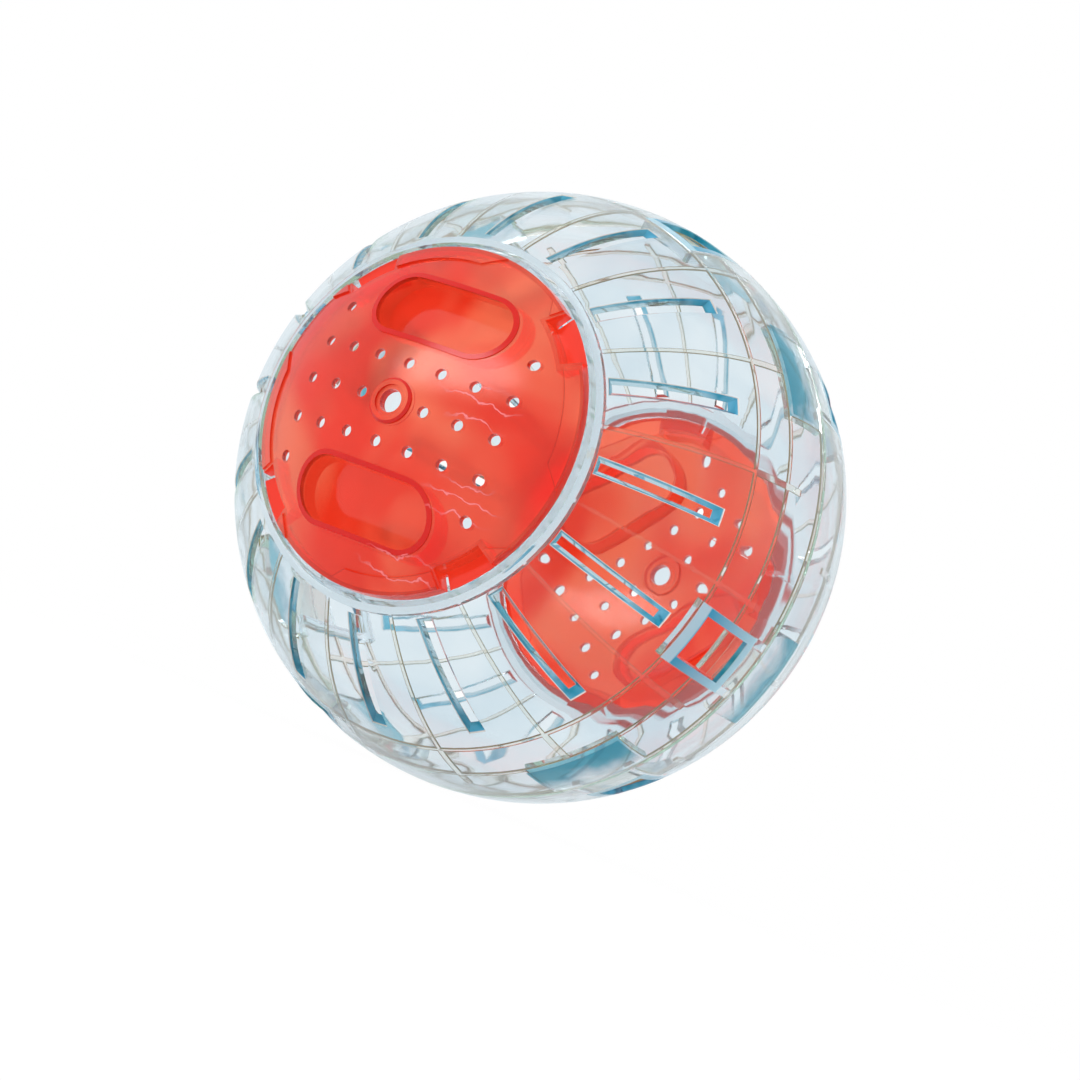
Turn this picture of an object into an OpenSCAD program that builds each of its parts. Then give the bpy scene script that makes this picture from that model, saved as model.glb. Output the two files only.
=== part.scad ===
// Hamster ball: two clear half shells that clip together on a flat seam, each with a round red door.
// The halves are one moulding used twice, the second turned over, and so are the doors.
// The origin is the centre of the ball. The axis through both doors is Y, the front door is at -Y.
// Every moulding is drawn with its door pole up, at its place in the ball, and then turned to -Y or +Y.

/* [Ball] */
// Outside diameter of the ball
ball_d = 190; // [184:1:210]
// Thickness of the clear wall
wall = 1.8; // [1.5:0.1:2.2]

/* [Door seat] */
// Radial gap between the door and the hole that it drops into
door_gap = 0.4; // [0.2:0.1:0.6]
// Wall of the collar round the hole
collar_w = 2.5; // [2:0.1:3]
// Width of the ledge that the door rests on
ledge_w = 3.4; // [3:0.1:4]
// Thickness of the ledge
ledge_t = 1.6; // [1.2:0.1:2]
// Depth of the ledge below the edge of the hole
ledge_drop = 4.3; // [4.1:0.1:5]
// Gap between the door and the ledge that it rests on
seat_gap = 0.2; // [0.1:0.1:0.3]

/* [Vents] */
// Number of vent slots round each half
vent_count = 16; // [12:4:16]
// Turn of the first vent slot about the door axis, in degrees
vent_turn = 4.5; // [3:0.5:6]
// Width of a vent slot at the outside of the wall
vent_w = 5.5; // [5:0.1:6]
// Width of the slope along each side of a vent slot, which narrows it towards the inside
vent_slope = 1.5; // [1.2:0.1:1.6]
// Length of the slope at the foot of a vent slot
vent_foot_slope = 2.9; // [2:0.1:3.2]
// Plain wall between the collar and the vent slots
vent_land = 2.5; // [1.5:0.1:4]
// Plain wall between the vent slots and the high hoop
vent_foot = 9; // [8:0.5:12]

/* [Ribs] */
// Width of the thin ribs between the vents
rib_w = 1.1; // [0.8:0.1:1.6]
// Width of the broad foot of each rib, below the high hoop
rib_foot_w = 1.9; // [1.6:0.1:2.4]
// Height of the ribs, hoops and seam bead inside the wall
rib_h = 0.6; // [0.5:0.1:1.2]
// Distance along the wall from the seam to the end of a rib
rib_end = 13.3; // [12:0.1:15]
// Width of the two hoops
hoop_w = 1.2; // [0.8:0.1:1.6]
// Distance along the wall from the seam to the high hoop
high_hoop = 35.1; // [34:0.1:38]
// Distance along the wall from the seam to the low hoop
low_hoop = 20.3; // [18:0.1:22]
// Width of the bead along the seam
bead_w = 1.6; // [1:0.1:2.4]

/* [Clips] */
// Number of clips and of windows on each half
clip_count = 4; // [2:1:4]
// Turn of the first window about the door axis, in degrees
window_turn = -17.5; // [-19:0.5:-16]
// Turn of the first clip about the door axis, in degrees
clip_turn = 39; // [37:0.5:41]
// Width of a window
window_w = 14.6; // [12:0.1:16]
// Length of a window along the wall
window_len = 21; // [18:0.5:22]
// Wall left between a window and the seam
bridge_len = 11.6; // [10:0.1:13]
// Width of the rails beside a window
rail_w = 2.5; // [2:0.1:3]
// Width of the stop at the closed end of a window
stop_w = 3.6; // [3:0.1:4]
// Depth of the rails and the stop inside the wall
rail_h = 3.2; // [2.8:0.1:4]
// Width of the pad that carries a clip
pad_w = 30.3; // [24:0.1:32]
// Thickness of a clip
clip_t = 1.6; // [1.2:0.1:2]
// Gap between a clip and the wall that it slides behind
clip_gap = 0.6; // [0.5:0.1:0.8]
// Gap between a clip and each rail
clip_side_gap = 0.5; // [0.3:0.1:0.8]
// Length of clip that shows in the window
clip_show = 8; // [6:0.5:12]
// Height of the catch bead on a clip
catch_h = 0.35; // [0.2:0.05:0.4]
// Length of the catch bead
catch_len = 4; // [3:0.5:5]
// Gap between the pad and the other half
pad_gap = 0.3; // [0.2:0.1:0.5]

/* [Door] */
// Diameter of the door
door_d = 105.7; // [98:0.1:108]
// Thickness of the door
door_wall = 1.8; // [1.5:0.1:2.2]
// Depth of the door's face below the ball's surface
door_drop = 1; // [0.8:0.1:1.4]
// Width of the skirt under the door's edge
skirt_w = 1.8; // [1.4:0.1:2.2]
// Turn of the line that the back door is turned over, in degrees
back_door_turn = 114.5; // [90:0.5:180]

/* [Door tongues] */
// Number of tongues on a door
tongue_count = 4; // [2:1:4]
// Turn of the first tongue, in degrees
tongue_turn = 44; // [42:0.5:46]
// Angle that a tongue's pocket spans, in degrees
tongue_span = 18; // [14:0.5:20]
// How far a tongue stands out past the door's edge
tongue_out = 1.1; // [0.8:0.1:1.4]
// Thickness of a tongue
tongue_t = 1.8; // [1.4:0.1:2]
// Width of the pocket over a tongue, measured inwards from the door's edge
pocket_w = 5.4; // [4.5:0.1:6.5]
// Width of the slit at one end of a tongue
slit_w = 1.7; // [1.2:0.1:2.2]
// Height of the raised rim lands
land_h = 0.6; // [0.3:0.1:0.8]
// Width of the long rim lands
land_w = 4.6; // [3.5:0.1:5]
// Width of the short rim lands
short_land_w = 3.8; // [3:0.1:4.5]
// Angle that a long rim land spans, in degrees
land_span = 41; // [36:0.5:42]
// Angle that a short rim land spans, in degrees
short_land_span = 6.5; // [5:0.5:8]

/* [Door holes] */
// Diameter of the small air holes
air_d = 3.4; // [2.5:0.1:4]
// Spacing of the air holes along a row
air_pitch = 11.1; // [10:0.1:11.5]
// Spacing of the rows of air holes
row_pitch = 12; // [11:0.1:12.5]
// Diameter of the hole through the hub
hub_hole_d = 7; // [5:0.1:8]
// Diameter of the hub
hub_d = 13.6; // [12:0.1:15]
// Height of the hub above the door's face
hub_h = 1; // [0.6:0.1:1.2]
// Height of the hub inside the door
hub_back = 0.8; // [0.5:0.1:1.5]
// Diameter of the step in the hub
hub_step_d = 9.4; // [8.5:0.1:11]
// Depth of the step in the hub
hub_step = 0.8; // [0.5:0.1:1]
// Width of the bevel on the hub's outer edge
hub_bevel = 0.7; // [0.4:0.1:0.9]

/* [Finger grips] */
// Length of a finger grip
grip_len = 46; // [40:0.5:50]
// Width of a finger grip
grip_w = 18.4; // [16:0.1:19]
// Depth of a finger grip
grip_depth = 7; // [5:0.1:8]
// Wall of a finger grip
grip_wall = 1.5; // [1.2:0.1:1.8]
// Height of the lip round a finger grip
grip_lip = 0.4; // [0.2:0.1:0.6]
// Distance from the hub to the middle of a finger grip
grip_place = 29.2; // [28:0.1:31]

/* [Hidden] */
$fn = 180;

// Overrun of every cut
cut = 1;

// Radii from the ball's centre
ball_r = ball_d / 2;
inner_r = ball_r - wall;
rib_r = inner_r - rib_h;
rail_r = inner_r - rail_h;
// Middle of the wall, where what stands on the inside of the wall is rooted
root_r = ball_r - wall / 2;
// Radius past every surface, for wedges that cut right through
far_r = 2 * ball_r;

// Radii from the door axis, and heights along it
door_r = door_d / 2;
tongue_r = door_r + tongue_out;
hole_r = tongue_r + door_gap;
collar_r = hole_r + collar_w;
ledge_r = hole_r - ledge_w;
hole_edge_z = sqrt(ball_r * ball_r - hole_r * hole_r);
ledge_top = hole_edge_z - ledge_drop;
ledge_bottom = ledge_top - ledge_t;
skirt_bottom = ledge_top + seat_gap;
tongue_top = skirt_bottom + tongue_t;

// Angles from the door pole
function along(length) = length / ball_r * 180 / PI;
collar_angle = asin(collar_r / ball_r);
vent_top_angle = collar_angle + along(vent_land);
high_hoop_angle = 90 - along(high_hoop);
low_hoop_angle = 90 - along(low_hoop);
vent_foot_angle = high_hoop_angle - along(vent_foot);
rib_end_angle = 90 - along(rib_end);
bead_angle = 90 - along(bead_w);
window_foot_angle = 90 - along(bridge_len);
window_top_angle = window_foot_angle - along(window_len);
stop_angle = window_top_angle - along(stop_w);
clip_end_angle = 90 + along(bridge_len + clip_show);
catch_angle = clip_end_angle - along(catch_len);

// The clip
clip_w = window_w - 2 * clip_side_gap;
clip_r = inner_r - clip_gap;
clip_inner_r = clip_r - clip_t;
clip_pitch = 360 / clip_count;
vent_pitch = 360 / vent_count;

// The door's face and back
face_r = ball_r - door_drop;
back_r = face_r - door_wall;
land_r = face_r + land_h;
pocket_r = door_r - pocket_w;
tongue_pitch = 360 / tongue_count;
grip_floor_r = face_r - grip_depth;
grip_r = grip_w / 2;
grip_half = grip_len / 2 - grip_r;
// Air hole columns in each row, counted from the hub
full_row = [-3, -2, -1, 1, 2, 3];
end_row = [-3, 3];

// A point at a radius and an angle in the plane of the seam
function around(r, a) = [r * cos(a), r * sin(a)];
// A point at a radius and an angle from the door pole
function down(r, a) = [r * sin(a), r * cos(a)];

// Everything between two angles from the door pole
module zone(top_angle, foot_angle) {
    rotate_extrude()
        polygon([[0, 0], down(far_r, top_angle), down(far_r, (top_angle + foot_angle) / 2), down(far_r, foot_angle)]);
}

// Everything between two angles about the door axis
module wedge(start, end) {
    translate([0, 0, -far_r])
        linear_extrude(2 * far_r)
            polygon([[0, 0], around(far_r, start), around(far_r, (start + end) / 2), around(far_r, end)]);
}

// A flat plate that stands on the door axis and runs out at one angle
module plate(width, angle) {
    rotate([0, 0, angle])
        translate([0, -width / 2, -far_r])
            cube([far_r, width, 2 * far_r]);
}

// A hollow ball between two radii
module hollow_ball(outer, inner) {
    difference() {
        sphere(outer);
        sphere(inner);
    }
}

// A strip of the wall's lining, at one angle and between two angles from the pole
module lining_strip(depth_r, width, angle, top_angle, foot_angle) {
    intersection() {
        hollow_ball(root_r, depth_r);
        plate(width, angle);
        zone(top_angle, foot_angle);
    }
}

module hoop(angle) {
    half_width = along(hoop_w) / 2;
    intersection() {
        hollow_ball(root_r, rib_r);
        zone(angle - half_width, angle + half_width);
    }
}

// Thin ribs between the vents, each with a broad foot below the high hoop
module ribs() {
    for (i = [0 : vent_count - 1]) {
        angle = vent_turn + (i + 0.5) * vent_pitch;
        lining_strip(rib_r, rib_w, angle, collar_angle, high_hoop_angle);
        lining_strip(rib_r, rib_foot_w, angle, high_hoop_angle, rib_end_angle);
    }
    hoop(high_hoop_angle);
    hoop(low_hoop_angle);
    intersection() {
        hollow_ball(root_r, rib_r);
        zone(bead_angle, 90);
    }
}

// Two rails and a stop round each window, which guide the other half's clip
module window_frames() {
    for (i = [0 : clip_count - 1]) {
        lining_strip(rail_r, window_w + 2 * rail_w, window_turn + i * clip_pitch, stop_angle, 90);
    }
}

// The channel that a clip slides in, open at the seam
module clip_channels() {
    for (i = [0 : clip_count - 1]) {
        intersection() {
            sphere(inner_r);
            plate(window_w, window_turn + i * clip_pitch);
            zone(window_top_angle, 90 + cut);
        }
    }
}

module windows() {
    for (i = [0 : clip_count - 1]) {
        intersection() {
            plate(window_w, window_turn + i * clip_pitch);
            zone(window_top_angle, window_foot_angle);
        }
    }
}

// A disc on the door axis, thin up to the inside of the wall and then wider outwards
module vent_blade() {
    side_slope = vent_slope / wall;
    thin = vent_w / 2 - vent_slope - side_slope * cut / 2;
    wide = vent_w / 2 + side_slope * cut;
    thin_r = inner_r - cut / 2;
    rotate([90, 0, 0])
        rotate_extrude()
            polygon([[0, -thin], [thin_r, -thin], [ball_r + cut, -wide], [ball_r + cut, wide], [thin_r, thin], [0, thin]]);
}

// The ring that the vents lie in, along the door axis at their tops and sloped at their feet
module vent_ring() {
    top_r = ball_r * sin(vent_top_angle);
    foot_inside = down(inner_r, vent_foot_angle - along(vent_foot_slope));
    foot_outside = down(ball_r, vent_foot_angle);
    overrun = (foot_outside - foot_inside) * cut / wall;
    low = foot_inside - overrun;
    high = foot_outside + overrun;
    rotate_extrude()
        polygon([[top_r, low[1]], low, high, [high[0], far_r], [top_r, far_r]]);
}

// Each blade cuts two vents, one on either side of the door
module vents() {
    for (i = [0 : vent_count / 2 - 1]) {
        intersection() {
            rotate([0, 0, vent_turn + i * vent_pitch])
                vent_blade();
            vent_ring();
        }
    }
}

// The collar round the door's hole, and the ledge at its foot
module collar() {
    intersection() {
        sphere(ball_r);
        translate([0, 0, ledge_bottom])
            difference() {
                cylinder(r = collar_r, h = ball_r);
                translate([0, 0, -cut])
                    cylinder(r = ledge_r, h = ball_r + 2 * cut);
            }
    }
}

module door_hole() {
    translate([0, 0, ledge_top])
        cylinder(r = hole_r, h = ball_r);
}

// A pad on the inside of the wall, and the clip that runs from it past the seam
module clips() {
    for (i = [0 : clip_count - 1]) {
        angle = clip_turn + i * clip_pitch;
        lining_strip(clip_inner_r, pad_w, angle, low_hoop_angle, 90 - along(pad_gap));
        intersection() {
            hollow_ball(clip_r, clip_inner_r);
            plate(clip_w, angle);
            zone(low_hoop_angle + along(pad_gap), clip_end_angle);
        }
        intersection() {
            hollow_ball(clip_r + catch_h, clip_r - clip_t / 2);
            plate(clip_w, angle);
            zone(catch_angle, clip_end_angle);
        }
    }
}

// The upper half of the wall, with its round hole
module wall_half() {
    difference() {
        intersection() {
            hollow_ball(ball_r, inner_r);
            translate([0, 0, ball_r / 2])
                cube([2 * far_r, 2 * far_r, ball_r], center = true);
        }
        translate([0, 0, inner_r / 2])
            cylinder(r = (hole_r + collar_r) / 2, h = ball_r);
    }
}

module half_shell() {
    difference() {
        union() {
            wall_half();
            collar();
            ribs();
            window_frames();
        }
        door_hole();
        vents();
        windows();
        clip_channels();
    }
    clips();
}

// A raised land on the door's rim, square at one end and tapered to the door's edge at the other
module land(square_angle, span, width, square_w) {
    tip_angle = square_angle - span;
    taper_angle = tip_angle + sign(span) * min(abs(span), short_land_span);
    taper_start = around(door_r - square_w, taper_angle);
    taper_end = around(door_r, tip_angle);
    slope = atan2(taper_end[1] - taper_start[1], taper_end[0] - taper_start[0]);
    difference() {
        intersection() {
            hollow_ball(land_r, face_r - door_wall / 2);
            difference() {
                cylinder(r = door_r, h = far_r);
                translate([0, 0, -cut])
                    cylinder(r = door_r - width, h = far_r + 2 * cut);
            }
            wedge(min(square_angle, tip_angle - sign(span)), max(square_angle, tip_angle - sign(span)));
        }
        translate([taper_start[0], taper_start[1], 0])
            rotate([0, 0, slope])
                translate([-far_r, span > 0 ? -far_r : 0, 0])
                    cube([2 * far_r, far_r, far_r]);
    }
}

module lands() {
    for (i = [0 : tongue_count - 1]) {
        middle = tongue_turn + i * tongue_pitch;
        land(middle - tongue_span / 2 - along(slit_w), land_span, land_w, land_w);
        land(middle + tongue_span / 2 + along(slit_w), -short_land_span, land_w, short_land_w);
    }
}

// A block under the face that holds one tongue's pocket
module tongue_block(middle) {
    side = tongue_span / 2 + along(door_wall) * ball_r / door_r;
    intersection() {
        sphere(face_r - door_wall / 2);
        wedge(middle - side, middle + side);
        translate([0, 0, skirt_bottom])
            difference() {
                cylinder(r = door_r, h = ball_r);
                translate([0, 0, -cut])
                    cylinder(r = pocket_r - door_wall, h = ball_r + 2 * cut);
            }
    }
}

module tongue_pocket(middle) {
    intersection() {
        wedge(middle - tongue_span / 2, middle + tongue_span / 2);
        translate([0, 0, tongue_top])
            difference() {
                cylinder(r = door_r + cut, h = ball_r);
                translate([0, 0, -cut])
                    cylinder(r = pocket_r, h = ball_r + 2 * cut);
            }
    }
}

module tongue(middle) {
    intersection() {
        wedge(middle - tongue_span / 2, middle + tongue_span / 2);
        translate([0, 0, skirt_bottom])
            difference() {
                cylinder(r = tongue_r, h = tongue_t);
                translate([0, 0, -cut])
                    cylinder(r = pocket_r, h = tongue_t + 2 * cut);
            }
    }
}

// The slit lies at the end of the tongue that is further from the row of air holes
module slit(middle, side) {
    end = middle + side * tongue_span / 2;
    width = slit_w / door_r * 180 / PI;
    intersection() {
        wedge(min(end, end - side * width), max(end, end - side * width));
        translate([0, 0, skirt_bottom - cut])
            difference() {
                cylinder(r = tongue_r + cut, h = tongue_t + 2 * cut);
                translate([0, 0, -cut])
                    cylinder(r = pocket_r + slit_w / 2, h = tongue_t + 4 * cut);
            }
    }
}

// The outline of a finger grip, grown by a width
module grip_prism(grow) {
    for (side = [-1, 1]) {
        translate([side * grip_half, 0, 0])
            cylinder(r = grip_r + grow, h = far_r);
    }
    translate([-grip_half, -grip_r - grow, 0])
        cube([2 * grip_half, 2 * (grip_r + grow), far_r]);
}

module grip_cups() {
    for (side = [-1, 1]) {
        intersection() {
            hollow_ball(face_r + grip_lip, grip_floor_r - door_wall);
            translate([0, side * grip_place, 0])
                grip_prism(grip_wall);
        }
    }
}

module grip_hollows() {
    for (side = [-1, 1]) {
        difference() {
            translate([0, side * grip_place, 0])
                grip_prism(0);
            sphere(grip_floor_r);
        }
    }
}

// The hub, a bevelled ring with a step round its hole
module hub() {
    top = face_r + hub_h;
    foot = back_r - hub_back;
    radius = hub_d / 2;
    rotate_extrude()
        polygon([[0, foot], [radius, foot], [radius, top - hub_bevel], [radius - hub_bevel, top], [0, top]]);
}

module hub_hole() {
    translate([0, 0, inner_r / 2])
        cylinder(d = hub_hole_d, h = ball_r);
    translate([0, 0, face_r + hub_h - hub_step])
        cylinder(d = hub_step_d, h = ball_r);
}

module air_hole(column, row) {
    translate([column * air_pitch, row * row_pitch, inner_r / 2])
        cylinder(d = air_d, h = ball_r);
}

module air_holes() {
    for (column = full_row) {
        air_hole(column, 0);
    }
    for (row = [-1, 1]) {
        air_hole(0, row);
        for (column = full_row) {
            air_hole(column, row);
        }
        for (column = end_row) {
            air_hole(column, 2 * row);
        }
    }
}

module door_face() {
    intersection() {
        hollow_ball(face_r, back_r);
        cylinder(r = door_r, h = far_r);
    }
}

module skirt() {
    intersection() {
        sphere(face_r - door_wall / 2);
        translate([0, 0, skirt_bottom])
            difference() {
                cylinder(r = door_r, h = ball_r);
                translate([0, 0, -cut])
                    cylinder(r = door_r - skirt_w, h = ball_r + 2 * cut);
            }
    }
}

module door() {
    difference() {
        union() {
            difference() {
                union() {
                    door_face();
                    skirt();
                    grip_cups();
                    lands();
                    for (i = [0 : tongue_count - 1]) {
                        tongue_block(tongue_turn + i * tongue_pitch);
                    }
                }
                grip_hollows();
                for (i = [0 : tongue_count - 1]) {
                    tongue_pocket(tongue_turn + i * tongue_pitch);
                }
            }
            hub();
            for (i = [0 : tongue_count - 1]) {
                tongue(tongue_turn + i * tongue_pitch);
            }
        }
        for (i = [0 : tongue_count - 1]) {
            slit(tongue_turn + i * tongue_pitch, i < tongue_count / 2 ? 1 : -1);
        }
        hub_hole();
        air_holes();
    }
}

// Stand a moulding on the front, with its door pole at -Y
module to_front() {
    rotate([90, 0, 0])
        children();
}

// Turn a moulding over about a line in the seam, so that its door pole is at +Y
module to_back(turn) {
    rotate([90, 0, 0])
        rotate([0, 0, turn])
            rotate([180, 0, 0])
                rotate([0, 0, -turn])
                    children();
}

module front_half_shell() {
    color([0.83, 0.87, 0.91, 0.4])
        to_front()
            half_shell();
}

// The back half is turned so that each half's clips lie in the other half's windows
module back_half_shell() {
    color([0.78, 0.86, 0.92, 0.4])
        to_back((clip_turn + window_turn) / 2)
            half_shell();
}

module front_door() {
    color([0.92, 0.29, 0.22, 0.8])
        to_front()
            door();
}

module back_door() {
    color([0.92, 0.36, 0.28, 0.8])
        to_back(back_door_turn)
            door();
}

front_half_shell();
back_half_shell();
front_door();
back_door();
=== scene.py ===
import math

import bpy
from mathutils import Matrix, Vector

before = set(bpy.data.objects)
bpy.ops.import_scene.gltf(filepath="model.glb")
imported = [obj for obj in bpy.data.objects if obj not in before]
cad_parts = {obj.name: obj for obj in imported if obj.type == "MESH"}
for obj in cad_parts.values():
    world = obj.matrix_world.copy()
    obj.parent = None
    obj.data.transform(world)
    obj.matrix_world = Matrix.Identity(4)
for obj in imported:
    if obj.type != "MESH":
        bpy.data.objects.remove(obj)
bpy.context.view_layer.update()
scene = bpy.context.scene

MM = 0.001
BALL_RADIUS = 95 * MM

# The materials find their zones by the CAD model's own sizes. Each edge between zones is a measure of
# the surface and two of its values, lengths in millimetres: the edge's amount is 0 up to the first and
# 1 past the second. Each zone combines amounts and numbers. Each tint blends two colours by an amount,
# and may use the tints above it. The last tint of a table is the finished one.
ANY_EDGES = {
    "on_edge": ("facing", 0.97, 0.88),
    "entering": ("backfacing", 1.0, 0.0),
}

# The shell's wall lies between radius 93.2 and 95. Ribs and hoops reach in to 92.6, the clips' pads to
# 91 and the window rails to 90. The doors' collars end 57.2 from the doors' axis.
SHELL_EDGES = {
    "past_collar": ("from_axis", 57.2, 58.0),
    "off_seam": ("height", 0.4, 1.0),
    "near_seam": ("height", 1.0, 0.4),
    "in_wall": ("radius", 93.1, 93.3),
    "inside_wall": ("radius", 93.3, 93.1),
    "outer_skin": ("radius", 94.7, 94.9),
    "patchy": ("patches", 0.35, 0.65),
    "cloudy": ("clouds", 0.35, 0.65),
    # The vents' walls: their outer edge, a painted glint of light along it, and the way to their feet
    "outer_edge": ("radius", 94.0, 94.3),
    "painted_glint_edge": ("radius", 94.7, 94.85),
    "towards_foot": ("from_axis", 66.0, 84.0),
    "foot": ("from_axis", 74.0, 81.0),
    "at_rib_face": ("radius", 92.9, 92.7),
    "off_rib_face": ("radius", 92.6, 92.7),
    "off_pad_face": ("radius", 91.9, 92.2),
    "at_pad_face": ("radius", 91.9, 91.5),
    "at_rail_face": ("radius", 90.6, 90.3),
    # A pad is 30.3 wide and ends 19.8 above the seam
    "in_pad_width": ("off_pad", 15.45, 15.15),
    "up_pad": ("uneven_height", 15.0, 26.0),
    "below_pad_top": ("height", 20.1, 19.8),
    # A window's frame of rails is 19.6 wide, from 8.6 to 35.9 above the seam, and the window ends at 32
    "in_frame_width": ("off_window", 10.1, 9.8),
    "above_frame_foot": ("height", 8.3, 8.6),
    "below_frame_top": ("height", 36.2, 35.9),
    "up_window": ("height", 8.6, 32.0),
    "below_window_top": ("height", 32.6, 32.0),
}
SHELL_ZONES = {
    "vent_wall": ("MULTIPLY", "on_edge", "past_collar", "off_seam", "in_wall"),
    "gathered": ("MAXIMUM", "outer_edge", "foot"),
    "thick": ("MULTIPLY", "at_pad_face", "past_collar"),
    "rib": ("MULTIPLY", "at_rib_face", "past_collar", "off_pad_face"),
    "rib_side": ("MULTIPLY", "on_edge", "past_collar", "inside_wall", "off_rib_face"),
    "over_frame": ("MULTIPLY", "outer_skin", "entering", "in_frame_width", "above_frame_foot",
                   "below_frame_top"),
    "up_frame": ("MULTIPLY", "up_window", "below_window_top"),
    "over_pad": ("MULTIPLY", "outer_skin", "entering", "past_collar", "in_pad_width", "up_pad",
                 "below_pad_top"),
    # The milk of each zone. A cut edge has a little, or it would pipe the light away and look black
    "vent_milk": ("MULTIPLY", "vent_wall", "gathered", "entering", 0.6),
    "frame_milk": ("MULTIPLY", "over_frame", 0.85),
    "pad_milk": ("MULTIPLY", "over_pad", 0.4),
    "rib_milk": ("MULTIPLY", "rib", 0.1),
    "rib_side_milk": ("MULTIPLY", "rib_side", 0.6),
    "edge_milk": ("MULTIPLY", "on_edge", 0.1),
    "milk": ("MAXIMUM", "vent_milk", "frame_milk", "pad_milk", "rib_milk", "rib_side_milk", "edge_milk"),
    "clear": ("SUBTRACT", 1.0, "milk"),
    # Painted glow: the seam's faces emit a pale light, standing in for the light the wall pipes to the
    # seam
    "seam_painted_glow": ("MULTIPLY", "on_edge", "near_seam", "past_collar", 0.22),
}
SHELL_TINTS = (
    ("vent_upper", "patchy", "3388A2", "82BAD0"),
    ("vent_lower", "patchy", "0F86AB", "56B4DC"),
    ("vent_along", "towards_foot", "vent_upper", "vent_lower"),
    ("vent_depth", "gathered", "B2D2DC", "vent_along"),
    # A painted glint: a cream line along the vents' outer edges
    ("vent", "painted_glint_edge", "vent_depth", "F4EAE2"),
    ("pad", "up_pad", "E4EEF3", "2E8CA4"),
    ("pad_or_rail", "at_rail_face", "pad", "DCEBF2"),
    ("frame", "up_frame", "ACD6E6", "2F9CC4"),
    ("plain_edge", "off_seam", "C3D2C8", "E4EEF2"),
    ("edge", "rib_side", "plain_edge", "C2B084"),
    ("skin", "cloudy", "F0F6F9", "FEFFFF"),
    ("with_ribs", "rib", "skin", "FFF8E8"),
    ("with_thick", "thick", "with_ribs", "pad_or_rail"),
    ("with_edges", "on_edge", "with_thick", "edge"),
    ("with_vents", "vent_wall", "with_edges", "vent"),
    ("with_pads", "over_pad", "with_vents", "3C9BB2"),
    ("with_frames", "over_frame", "with_pads", "frame"),
)

# A door's back lies at radius 92.2, its face at 94 and the lips round its grips at 94.4. Its rim lies
# 52.85 from the doors' axis, and the side of its hub 6.8.
DOOR_EDGES = {
    "below_face": ("radius", 92.8, 91.8),
    "on_face": ("radius", 92.7, 93.2),
    "inner": ("on_face", 1.0, 0.0),
    "outer_face": ("radius", 93.7, 93.9),
    "flat": ("on_edge", 1.0, 0.0),
    "at_rim": ("from_axis", 46.85, 47.85),
    "off_rim": ("at_rim", 1.0, 0.0),
    "at_hub": ("from_axis", 7.2, 7.0),
    "off_hub": ("from_axis", 7.0, 7.2),
    "hole_depth": ("radius", 92.5, 92.7),
    "above_face": ("radius", 94.2, 94.3),
    "below_hub_top": ("radius", 94.52, 94.46),
    "cloudy": ("clouds", 0.38, 0.62),
    # Pale wavy lines near given middles: painted highlights on the moulding's flow waves
    "flow_line": ("flow", 0.94, 0.99),
    "near_flow_highlight": ("off_flow_highlight", 8.0, 4.0),
}
DOOR_ZONES = {
    "low_or_rim": ("MAXIMUM", "below_face", "at_rim"),
    "side": ("MULTIPLY", "on_edge", "low_or_rim"),
    "rim_wall": ("MULTIPLY", "on_edge", "at_rim"),
    "hole_wall": ("MULTIPLY", "on_edge", "hole_depth", "off_rim"),
    "lip": ("MULTIPLY", "above_face", "below_hub_top", "off_hub"),
    "hub_bevel": ("MULTIPLY", "on_edge", "at_hub"),
    "drawn": ("MAXIMUM", "lip", "hub_bevel"),
    # Painted highlights on the flow waves of the front door's outer face
    "flow_highlight": ("MULTIPLY", "flow_line", "near_flow_highlight", "outer_face", "flat"),
    # The milk is met where the light enters: most on the rim's walls, or they would look black
    "face_milk": ("MULTIPLY", "on_face", 0.32),
    "rim_milk": ("MULTIPLY", "rim_wall", 0.7),
    "drawn_milk": ("MULTIPLY", "drawn", 0.8),
    "hole_milk": ("MULTIPLY", "hole_wall", 0.6),
    "flow_highlight_milk": ("MULTIPLY", "flow_highlight", 0.7),
    "milk": ("MAXIMUM", 0.22, "face_milk", "rim_milk", "drawn_milk", "hole_milk", "flow_highlight_milk"),
    "met_milk": ("MULTIPLY", "milk", "entering"),
    "clear": ("SUBTRACT", 1.0, "met_milk"),
    # Painted glow: the inner faces and the rim, which little light reaches, emit the door's orange, a
    # painted lift of their shade, and the whole door emits a little of it
    "inner_painted_glow": ("MULTIPLY", "inner", 0.08),
    "inner_rim_painted_glow": ("MULTIPLY", "inner", "at_rim", 0.2),
    "rim_painted_glow": ("MULTIPLY", "rim_wall", 0.12),
    "painted_glow": ("MAXIMUM", "inner_painted_glow", "inner_rim_painted_glow", "rim_painted_glow"),
    "met_painted_glow": ("MULTIPLY", "painted_glow", "entering"),
    "painted_glow_strength": ("ADD", "met_painted_glow", 0.03),
}
DOOR_TINTS = (
    ("face", "cloudy", "F6361F", "FF7452"),
    ("deep", "at_rim", "F23A22", "E4200F"),
    ("with_sides", "side", "face", "deep"),
    ("with_holes", "hole_wall", "with_sides", "C4301C"),
    ("with_lips", "drawn", "with_holes", "D00A02"),
    # Pale pink painted highlights on the flow waves
    ("with_flow_highlights", "flow_highlight", "with_lips", "F4868C"),
)

# Sizes of the patterns, in millimetres: the long waves of moulded skins, the patches of tint in a
# vent's wall, the cloudy patches of the clear skins and of the doors, and the streaks at a pad's faded
# edge, with how far they move that edge
WAVE_SIZE = 22.2
PATCH_SIZE = 6.25
SKIN_CLOUD_SIZE = 40.0
DOOR_CLOUD_SIZE = 45.5
STREAK_SIZE = 16.7
STREAK_REACH = 24.0
# Depth of the waves before a material weakens it, in metres
WAVE_DEPTH = 1.0 * MM
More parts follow.
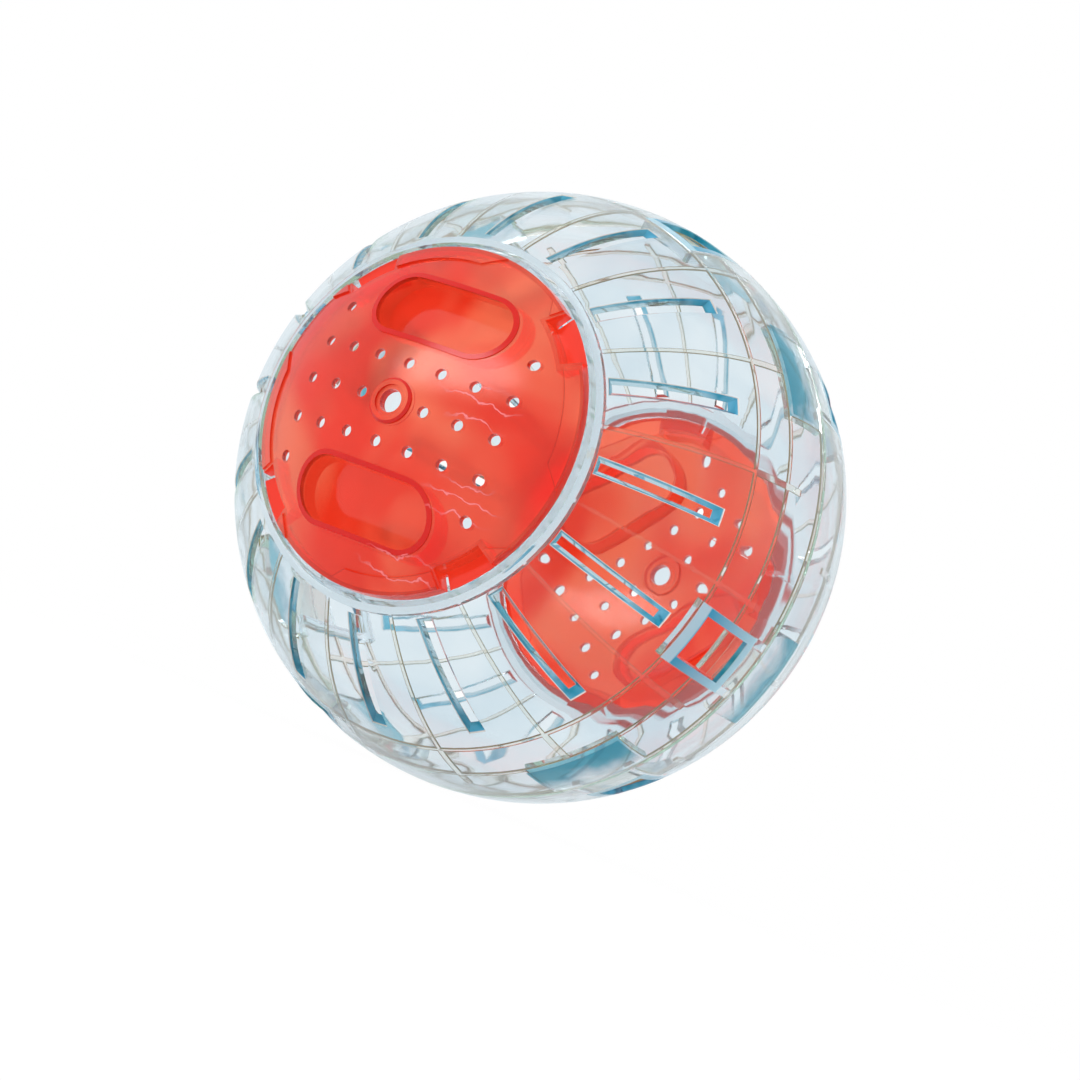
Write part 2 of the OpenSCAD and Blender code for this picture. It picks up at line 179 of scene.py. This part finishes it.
# Painted highlights on the front door's flow waves: the spacing of their lines, the middles of their
# patches, and how much a patch is pressed together in X before its distance is taken, which makes it long
FLOW_SPACING = 5.236
FLOW_HIGHLIGHTS = ((26.0, -90.0, 7.0), (31.2, -86.5, -19.4), (17.7, -81.7, -43.1))
FLOW_STRETCH = (0.5, 1.0, 1.0)
# Blender's wave texture turns its sine by this many radians in one unit of its scale
WAVE_RADIANS = 20
# A distance from the flow marks that is larger than any on the door
FAR_AWAY = 1000.0
# The photograph shows less white glare than bare plastic gives, on the shells above all
SHELL_GLARE = "AAAAAA"
DOOR_GLARE = "EDEDED"


def hex_colour(text):
    """The linear colour of an sRGB hex value, with an alpha of 1."""
    shares = [int(text[i:i + 2], 16) / 255 for i in (0, 2, 4)]
    return tuple(s / 12.92 if s <= 0.04045 else ((s + 0.055) / 1.055) ** 2.4 for s in shares) + (1.0,)


def add_node(tree, kind, inputs=None, output=None, **settings):
    """Adds a node with its settings and links, and gives the named output, or else the first in use.
    An input is a value, or a socket to link from."""
    made = tree.nodes.new(kind)
    for name, value in settings.items():
        setattr(made, name, value)
    for socket, value in (inputs or {}).items():
        if isinstance(value, bpy.types.NodeSocket):
            tree.links.new(value, made.inputs[socket])
        else:
            made.inputs[socket].default_value = value
    if output:
        return made.outputs[output]
    return next((socket for socket in made.outputs if socket.enabled), None)


def new_material(name):
    """A material with an empty node tree."""
    material = bpy.data.materials.new(name)
    material.use_nodes = True
    material.node_tree.nodes.clear()
    return material, material.node_tree


def paint_zones(tree, amounts, edges, zones, tints):
    """Adds a table's edges and a table's zones to the amounts, and gives the last of a table's tints."""
    for name, (measure, start, end) in edges.items():
        amounts[name] = add_node(tree, "ShaderNodeMapRange", {
            "Value": amounts[measure], "From Min": start, "From Max": end})
    for name, (operation, first, *others) in zones.items():
        total = amounts.get(first, first)
        for other in others:
            total = add_node(tree, "ShaderNodeMath", {0: total, 1: amounts.get(other, other)},
                             operation=operation)
        amounts[name] = total
    blends = {}
    for name, amount, low, high in tints:
        low, high = [blends[tint] if tint in blends else hex_colour(tint) for tint in (low, high)]
        blends[name] = add_node(tree, "ShaderNodeMix", {"Factor": amounts[amount], "A": low, "B": high},
                                data_type="RGBA")
    return blends[tints[-1][0]]


def measure_surface(tree, side):
    """Measures of a point of the ball, in millimetres: its place, its radius, its distance from the
    doors' axis and its height above the seam on one side. With them come how squarely the surface
    faces the ball's centre or away from it, 0 on edge and 1 on the skins, and whether light meets it
    from inside the plastic."""
    spot = add_node(tree, "ShaderNodeTexCoord", output="Object")
    normal = add_node(tree, "ShaderNodeTexCoord", output="Normal")
    place = add_node(tree, "ShaderNodeVectorMath", {0: spot, "Scale": 1 / MM}, operation="SCALE")
    outward = add_node(tree, "ShaderNodeVectorMath", {0: place}, operation="NORMALIZE")
    turned = add_node(tree, "ShaderNodeVectorMath", {0: outward, 1: normal}, operation="DOT_PRODUCT")
    off_axis = add_node(tree, "ShaderNodeVectorMath", {0: place, 1: (1.0, 0.0, 1.0)}, operation="MULTIPLY")
    along_axis = add_node(tree, "ShaderNodeSeparateXYZ", {0: place}, "Y")
    return place, {
        "radius": add_node(tree, "ShaderNodeVectorMath", {0: place}, operation="LENGTH"),
        "from_axis": add_node(tree, "ShaderNodeVectorMath", {0: off_axis}, operation="LENGTH"),
        "height": add_node(tree, "ShaderNodeMath", {0: along_axis, 1: side}, operation="MULTIPLY"),
        "facing": add_node(tree, "ShaderNodeMath", {0: turned}, operation="ABSOLUTE"),
        "backfacing": add_node(tree, "ShaderNodeNewGeometry", output="Backfacing"),
    }


def clear_polystyrene(name, side, window_turn, pad_turn):
    """Clear general-purpose polystyrene, injection moulded with a faint blue tint and polished.
    The skins are glossy and all but colourless, a little cloudier in slow patches, with flow waves that
    bend what lies behind them. The walls of the vents gather the tint of the whole sheet at their outer
    edges, blue towards their feet, and the clips' pads and the window frames, where the plastic is
    thicker, show it as broad blue bands. Four windows and four pads stand a quarter turn apart, the
    first ones at the given turns about the doors' axis, in degrees."""
    material, tree = new_material(name)
    place, amounts = measure_surface(tree, side)
    for measure, turn in (("off_window", window_turn), ("off_pad", pad_turn)):
        turned = add_node(tree, "ShaderNodeVectorRotate", {"Vector": place, "Angle": math.radians(turn)},
                          rotation_type="Y_AXIS")
        folded = add_node(tree, "ShaderNodeVectorMath", {0: turned}, operation="ABSOLUTE")
        across = add_node(tree, "ShaderNodeSeparateXYZ", {0: folded}, "X")
        upward = add_node(tree, "ShaderNodeSeparateXYZ", {0: folded}, "Z")
        amounts[measure] = add_node(tree, "ShaderNodeMath", {0: across, 1: upward}, operation="MINIMUM")
    amounts["patches"] = add_node(tree, "ShaderNodeTexNoise", {
        "Vector": place, "Scale": 1 / PATCH_SIZE, "Detail": 1.0})
    amounts["clouds"] = add_node(tree, "ShaderNodeTexNoise", {
        "Vector": place, "Scale": 1 / SKIN_CLOUD_SIZE, "Detail": 2.0, "Distortion": 0.6})
    # The tint of a pad fades towards the seam, with an uneven edge
    streaks = add_node(tree, "ShaderNodeTexNoise", {
        "Vector": place, "Scale": 1 / STREAK_SIZE, "Detail": 2.0, "Distortion": 1.0})
    amounts["uneven_height"] = add_node(tree, "ShaderNodeMath", {
        0: streaks, 1: STREAK_REACH, 2: amounts["height"]}, operation="MULTIPLY_ADD")
    tint = paint_zones(tree, amounts, {**ANY_EDGES, **SHELL_EDGES}, SHELL_ZONES, SHELL_TINTS)
    waves = add_node(tree, "ShaderNodeTexNoise", {
        "Vector": place, "Scale": 1 / WAVE_SIZE, "Detail": 1.0, "Roughness": 0.5})
    bump = add_node(tree, "ShaderNodeBump", {"Height": waves, "Strength": 0.14, "Distance": WAVE_DEPTH})
    # The emission is the painted glow along the seam
    shader = add_node(tree, "ShaderNodeBsdfPrincipled", {
        "Base Color": tint, "Roughness": 0.03, "IOR": 1.4, "Specular Tint": hex_colour(SHELL_GLARE),
        "Transmission Weight": amounts["clear"], "Normal": bump,
        "Emission Color": hex_colour("B4C4BE"), "Emission Strength": amounts["seam_painted_glow"]})
    add_node(tree, "ShaderNodeOutputMaterial", {"Surface": shader})
    return material


def red_polystyrene():
    """Transparent red-orange polystyrene, injection moulded, with a little milk in it: part of the light
    passes and part comes back. Where light crosses more of it, as in the sides of the grips, the tongues
    and the rim, the orange turns to deep red, and the lips and the hub's bevels are drawn in it. Pale wavy
    lines in a few patches of the front door's outer face are painted highlights on the moulding's flow
    waves. A painted orange glow lifts the shade of the inner faces and the rim, and a little of it lies
    on the whole door."""
    material, tree = new_material("red_polystyrene_moulded")
    place, amounts = measure_surface(tree, 1.0)
    amounts["clouds"] = add_node(tree, "ShaderNodeTexNoise", {
        "Vector": place, "Scale": 1 / DOOR_CLOUD_SIZE, "Detail": 2.0, "Distortion": 0.8})
    amounts["flow"] = add_node(tree, "ShaderNodeTexWave", {
        "Vector": place, "Scale": math.tau / WAVE_RADIANS / FLOW_SPACING, "Distortion": 7.0,
        "Detail": 3.0, "Detail Scale": 1.6, "Detail Roughness": 0.6}, "Fac", bands_direction="Z")
    amounts["off_flow_highlight"] = FAR_AWAY
    for middle in FLOW_HIGHLIGHTS:
        offset = add_node(tree, "ShaderNodeVectorMath", {0: place, 1: middle}, operation="SUBTRACT")
        pressed = add_node(tree, "ShaderNodeVectorMath", {0: offset, 1: FLOW_STRETCH},
                           operation="MULTIPLY")
        away = add_node(tree, "ShaderNodeVectorMath", {0: pressed}, operation="LENGTH")
        amounts["off_flow_highlight"] = add_node(tree, "ShaderNodeMath", {0: amounts["off_flow_highlight"], 1: away},
                                       operation="MINIMUM")
    tint = paint_zones(tree, amounts, {**ANY_EDGES, **DOOR_EDGES}, DOOR_ZONES, DOOR_TINTS)
    waves = add_node(tree, "ShaderNodeTexNoise", {
        "Vector": place, "Scale": 1 / WAVE_SIZE, "Detail": 2.0, "Roughness": 0.5})
    bump = add_node(tree, "ShaderNodeBump", {"Height": waves, "Strength": 0.25, "Distance": WAVE_DEPTH})
    # The emission is a painted glow: it lifts the shade of the inner faces and the rim
    shader = add_node(tree, "ShaderNodeBsdfPrincipled", {
        "Base Color": tint, "Roughness": 0.13, "IOR": 1.45, "Specular Tint": hex_colour(DOOR_GLARE),
        "Transmission Weight": amounts["clear"], "Normal": bump,
        "Emission Color": hex_colour("FF5836"), "Emission Strength": amounts["painted_glow_strength"]})
    add_node(tree, "ShaderNodeOutputMaterial", {"Surface": shader})
    return material


def dress(names, material):
    """Gives CAD nodes their finish."""
    for name in names:
        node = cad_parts[name]
        node.data.materials.clear()
        node.data.materials.append(material)


# The front half lies at negative Y and the back half at positive Y. A half's windows stand where the
# other half's pads do.
FRONT_WINDOW_TURN = -17.5
BACK_WINDOW_TURN = 39.0
front_clear = clear_polystyrene("clear_polystyrene_front", -1.0, FRONT_WINDOW_TURN, BACK_WINDOW_TURN)
back_clear = clear_polystyrene("clear_polystyrene_back", 1.0, BACK_WINDOW_TURN, FRONT_WINDOW_TURN)
dress(["front_half_shell"], front_clear)
dress(["back_half_shell"], back_clear)
dress(["front_door", "back_door"], red_polystyrene())

# The photograph's camera: its right, up and backward directions, found from the ball's outline and its
# door, slots and holes.
RIGHT = Vector((0.80097, 0.44983, 0.39509))
UP = Vector((-0.28647, -0.29152, 0.91266))
BACK = Vector((0.52572, -0.84420, -0.10464))
CAMERA_DISTANCE = 0.8275
PHOTO_SIDE = 1080
# Where the ball's centre lies in the photograph, in its pixels
CENTRE_X = 540.52
CENTRE_Y = 497.69
SENSOR = 36.0
FOCAL_PIXELS = 2648.55
NEAR_CLIP = 0.01

camera_data = bpy.data.cameras.new("camera")
camera_data.sensor_width = SENSOR
camera_data.lens = FOCAL_PIXELS / PHOTO_SIDE * SENSOR
camera_data.shift_x = (PHOTO_SIDE / 2 - CENTRE_X) / PHOTO_SIDE
camera_data.shift_y = (CENTRE_Y - PHOTO_SIDE / 2) / PHOTO_SIDE
camera_data.clip_start = NEAR_CLIP
camera = bpy.data.objects.new("camera", camera_data)
scene.collection.objects.link(camera)
axes = Matrix((RIGHT, UP, BACK)).transposed().to_4x4()
camera.matrix_world = Matrix.Translation(BACK * CAMERA_DISTANCE) @ axes
scene.camera = camera

WHITE = hex_colour("FFFFFF")
BLACK = hex_colour("000000")
SOFT_LIGHT = 0.9
# What sees the backdrop: the camera straight, in gloss or through the plastic, but not soft light. Its
# tone is white, or a pale studio blue through the plastic.
BACKDROP_EDGES = {"unscattered": ("scatters", 1.0, 0.0)}
BACKDROP_ZONES = {
    "in_view": ("MAXIMUM", "straight", "glossy", "through"),
    "seen": ("MULTIPLY", "in_view", "unscattered"),
}
BACKDROP_TINTS = (("tone", "straight", "E6EFF4", "FFFFFF"),)


def backdrop_tone(tree):
    """1 for what sees the backdrop and 0 for soft light, and the tone that is seen."""
    amounts = {
        "straight": add_node(tree, "ShaderNodeLightPath", output="Is Camera Ray"),
        "glossy": add_node(tree, "ShaderNodeLightPath", output="Is Glossy Ray"),
        "through": add_node(tree, "ShaderNodeLightPath", output="Is Transmission Ray"),
        "scatters": add_node(tree, "ShaderNodeLightPath", output="Diffuse Depth"),
    }
    tone = paint_zones(tree, amounts, BACKDROP_EDGES, BACKDROP_ZONES, BACKDROP_TINTS)
    return amounts["seen"], tone


world = bpy.data.worlds.new("studio")
world.use_nodes = True
studio = world.node_tree
studio.nodes.clear()
seen_share, seen_tone = backdrop_tone(studio)
soft = add_node(studio, "ShaderNodeBackground", {"Color": WHITE, "Strength": SOFT_LIGHT})
pale = add_node(studio, "ShaderNodeBackground", {"Color": seen_tone, "Strength": 1.0})
sky = add_node(studio, "ShaderNodeMixShader", {0: seen_share, 1: soft, 2: pale})
add_node(studio, "ShaderNodeOutputWorld", {"Surface": sky})
scene.world = world

# A lamp's middle, and how far from it the lamp ends and its full glow begins, as shares of its width
LAMP_MIDDLE = (0.5, 0.5, 0.0)
LAMP_EDGE = 0.5
FULL_GLOW = 0.2


def add_lamp(name, offset, width, height, power):
    """An oval softbox that fades towards its edge, at an offset from the ball's centre along the camera's
    right, up and back, with its width level in the picture."""
    data = bpy.data.lights.new(name, "AREA")
    data.shape = "ELLIPSE"
    data.size = width
    data.size_y = height
    data.energy = power
    data.use_nodes = True
    tree = data.node_tree
    tree.nodes.clear()
    spot = add_node(tree, "ShaderNodeNewGeometry", output="Parametric")
    outwards = add_node(tree, "ShaderNodeVectorMath", {0: spot, 1: LAMP_MIDDLE}, operation="DISTANCE")
    glow = add_node(tree, "ShaderNodeMapRange", {
        "Value": outwards, "From Min": LAMP_EDGE, "From Max": FULL_GLOW}, interpolation_type="SMOOTHSTEP")
    light = add_node(tree, "ShaderNodeEmission", {"Strength": glow})
    add_node(tree, "ShaderNodeOutputLight", {"Surface": light})
    lamp = bpy.data.objects.new(name, data)
    scene.collection.objects.link(lamp)
    place = RIGHT * offset[0] + UP * offset[1] + BACK * offset[2]
    outward = place.normalized()
    across = UP.cross(outward).normalized()
    turn = Matrix((across, outward.cross(across), outward)).transposed().to_4x4()
    lamp.matrix_world = Matrix.Translation(place) @ turn


add_lamp("key_softbox", offset=(-0.62, 0.99, 0.77), width=1.5, height=0.55, power=11.0)
add_lamp("fill_softbox", offset=(1.0, 0.4, 0.7), width=1.0, height=1.0, power=1.0)

FLOOR_SIDE = 6.0
PAPER = hex_colour("F3F3F3")
# How much of the floor's tone is the light that falls on it
SHADOW_DEPTH = 0.25
# The paper's sheen hides the shadow where it is seen at a very flat angle
SHEEN_IOR = 1.15


def matt_white_floor():
    """Matt white studio paper. The camera sees it lifted to white, with the ball's soft shadow on it."""
    material, tree = new_material("matt_white_floor")
    seen, tone = backdrop_tone(tree)
    paper = add_node(tree, "ShaderNodeBsdfDiffuse", {"Color": PAPER})
    dimmed = add_node(tree, "ShaderNodeMix", {"Factor": SHADOW_DEPTH, "A": BLACK, "B": tone},
                      data_type="RGBA")
    shaded = add_node(tree, "ShaderNodeBsdfDiffuse", {"Color": dimmed})
    lift = add_node(tree, "ShaderNodeEmission", {"Color": tone, "Strength": 1 - SHADOW_DEPTH * SOFT_LIGHT})
    lifted = add_node(tree, "ShaderNodeAddShader", {0: shaded, 1: lift})
    sheen = add_node(tree, "ShaderNodeFresnel", {"IOR": SHEEN_IOR})
    bare = add_node(tree, "ShaderNodeEmission", {"Color": tone, "Strength": 1.0})
    sheer = add_node(tree, "ShaderNodeMixShader", {0: sheen, 1: lifted, 2: bare})
    surface = add_node(tree, "ShaderNodeMixShader", {0: seen, 1: paper, 2: sheer})
    add_node(tree, "ShaderNodeOutputMaterial", {"Surface": surface})
    return material


half_side = FLOOR_SIDE / 2
corners = [(x * half_side, y * half_side, -BALL_RADIUS) for x, y in ((-1, -1), (1, -1), (1, 1), (-1, 1))]
floor_mesh = bpy.data.meshes.new("floor")
floor_mesh.from_pydata(corners, [], [(0, 1, 2, 3)])
floor_mesh.materials.append(matt_white_floor())
floor = bpy.data.objects.new("floor", floor_mesh)
scene.collection.objects.link(floor)

scene.view_settings.view_transform = "Standard"
# Light crosses many faces of clear plastic on its way through the ball
scene.cycles.max_bounces = 64
scene.cycles.transmission_bounces = 64
scene.cycles.diffuse_bounces = 8
scene.cycles.glossy_bounces = 64
